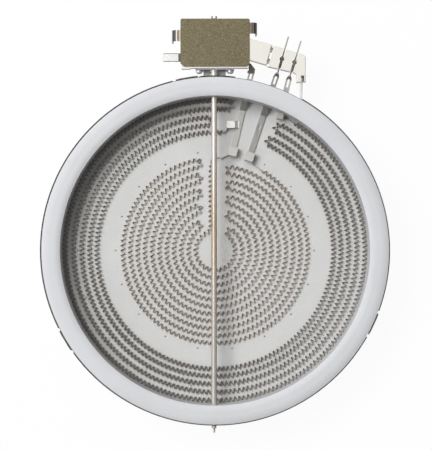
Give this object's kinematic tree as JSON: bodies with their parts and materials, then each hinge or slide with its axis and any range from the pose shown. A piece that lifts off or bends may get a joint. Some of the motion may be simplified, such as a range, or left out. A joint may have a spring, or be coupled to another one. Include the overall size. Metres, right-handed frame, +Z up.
{
  "type": "radiant hob heater",
  "caption": "Round radiant heater for a glass-ceramic hob: steel pan, pressed insulation, corrugated ribbon coils in two zones, rod limiter across the dish and a terminal block.",
  "frame": {"origin": "centre of the flat underside of the pan", "axes": "+Z up out of the dish to the glass, +Y along the limiter rod towards its head, +X to the terminal block side"},
  "size_m": [0.2, 0.2387, 0.032],
  "materials": {
    "pan_steel": "satin",
    "floor_insulation": "matte",
    "ring_insulation": "matte",
    "heater_alloy": "oxidised",
    "strip_steel": "satin",
    "steatite": "matte",
    "tube_steel": "polished",
    "rod_ceramic": "matte",
    "cover_bronze": "tarnished",
    "tab_metal": "satin",
    "spring_steel": "satin",
    "contact_brass": "satin",
    "fastener_steel": "bright"
  },
  "bodies": {
    "heater": {"base_pan": "pan_steel", "insulation_floor": "floor_insulation", "insulation_ring": "ring_insulation", "inner_heating_ribbon": "heater_alloy", "outer_heating_ribbon": "heater_alloy", "common_strip": "strip_steel", "inner_zone_strip": "strip_steel", "outer_zone_strip": "strip_steel", "weld_loops": "strip_steel", "outer_end_clip": "strip_steel", "terminal_block": "steatite", "block_bracket": "pan_steel", "block_rivets": "fastener_steel", "sensor_tube": "tube_steel", "tube_ferrule": "tube_steel", "limiter_bracket": "pan_steel", "bracket_rivets": "fastener_steel", "head_base": "steatite", "head_cover": "cover_bronze", "limiter_supply_tab": "tab_metal", "limiter_bus": "strip_steel", "signal_arm_tab": "tab_metal", "signal_contact_tab": "tab_metal", "calibration_screw": "fastener_steel", "return_spring": "spring_steel", "limiter_fixed_contact": "contact_brass", "signal_fixed_contact": "contact_brass", "limiter_pivot_pin": "fastener_steel", "signal_pivot_pin": "fastener_steel"},
    "expansion": {"expansion_rod": "rod_ceramic", "tube_end_pin": "tube_steel", "plunger": "rod_ceramic", "spring_seat": "spring_steel"},
    "limiter_contact": {"limiter_arm": "spring_steel", "limiter_arm_contact": "contact_brass"},
    "signal_contact": {"signal_arm": "spring_steel", "signal_arm_contact": "contact_brass"}
  },
  "joints": [
    {"name": "rod_travel", "type": "slide", "parent": "heater", "child": "expansion", "axis": [0, -1, 0], "range_m": [0, 0.0009]},
    {"name": "limiter_opening", "type": "hinge", "parent": "heater", "child": "limiter_contact", "pos_m": [-0.013, 0.112, 0.025], "axis": [0, 0, -1], "range_deg": [0, 4.2]},
    {"name": "signal_closing", "type": "hinge", "parent": "heater", "child": "signal_contact", "pos_m": [0.012, 0.118, 0.025], "axis": [0, 0, 1], "range_deg": [0, 4.2]}
  ],
  "couplings": [
    {"joint": "limiter_opening", "follows": "rod_travel", "rad_per_m": 80},
    {"joint": "signal_closing", "follows": "rod_travel", "rad_per_m": 80}
  ]
}
